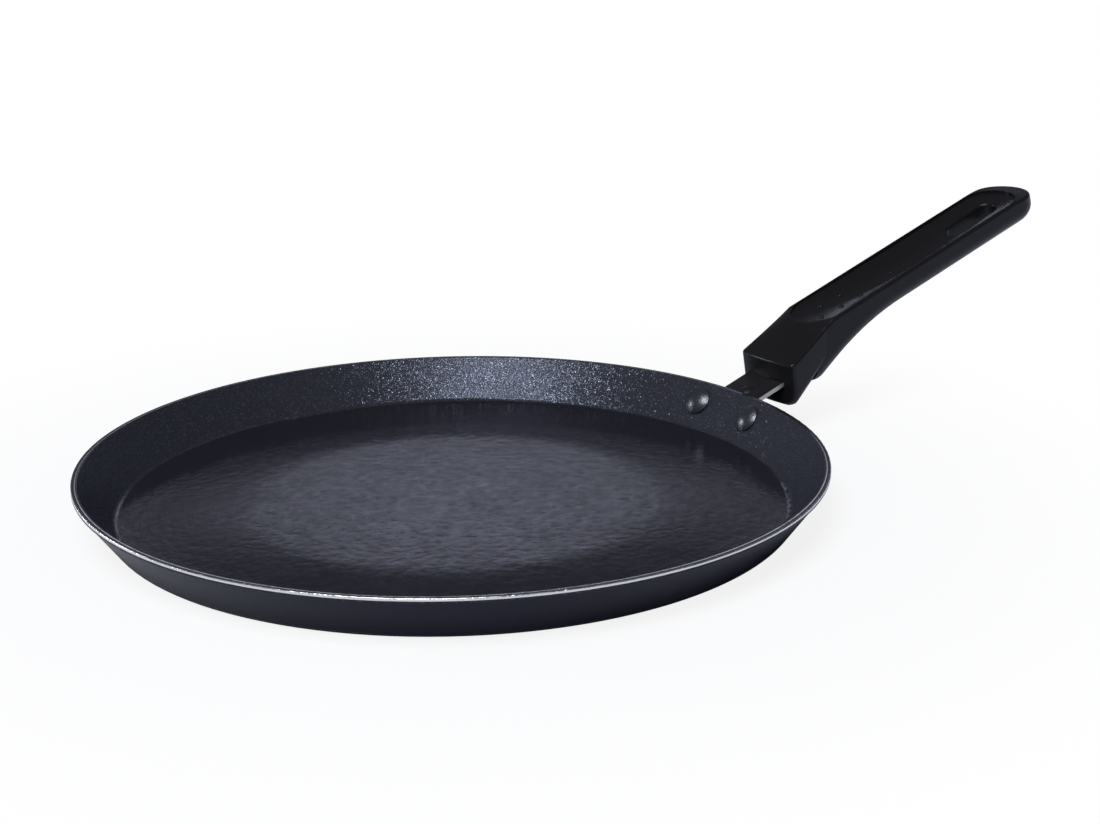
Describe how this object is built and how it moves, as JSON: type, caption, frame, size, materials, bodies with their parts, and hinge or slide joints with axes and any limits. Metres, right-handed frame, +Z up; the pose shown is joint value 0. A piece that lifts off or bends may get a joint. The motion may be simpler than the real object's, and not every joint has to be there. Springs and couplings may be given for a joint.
{
  "type": "crepe pan",
  "caption": "Flat crepe pan with a low flared wall, dark non-stick coat, bare turned rim and a rising moulded handle with a hang slot.",
  "frame": {"origin": "centre of the flat base's underside", "axes": "+X along the handle away from the pan, +Y to the handle's left, +Z up"},
  "size_m": [0.4462, 0.28, 0.0845],
  "materials": {
    "coated_aluminium": "dark non-stick coat inside, dark enamel outside, bare turned rim",
    "dark_steel": "blackened sheet with bright cut edges",
    "coated_rivets": "non-stick coat, semi-gloss",
    "phenolic": "fine matte moulding",
    "plated_steel": "zinc plated"
  },
  "bodies": {
    "root": {"pan_body": "coated_aluminium", "handle_bracket": "dark_steel", "bracket_rivets": "coated_rivets", "handle_grip": "phenolic", "grip_screw": "plated_steel", "spring_washer": "plated_steel"}
  },
  "joints": []
}
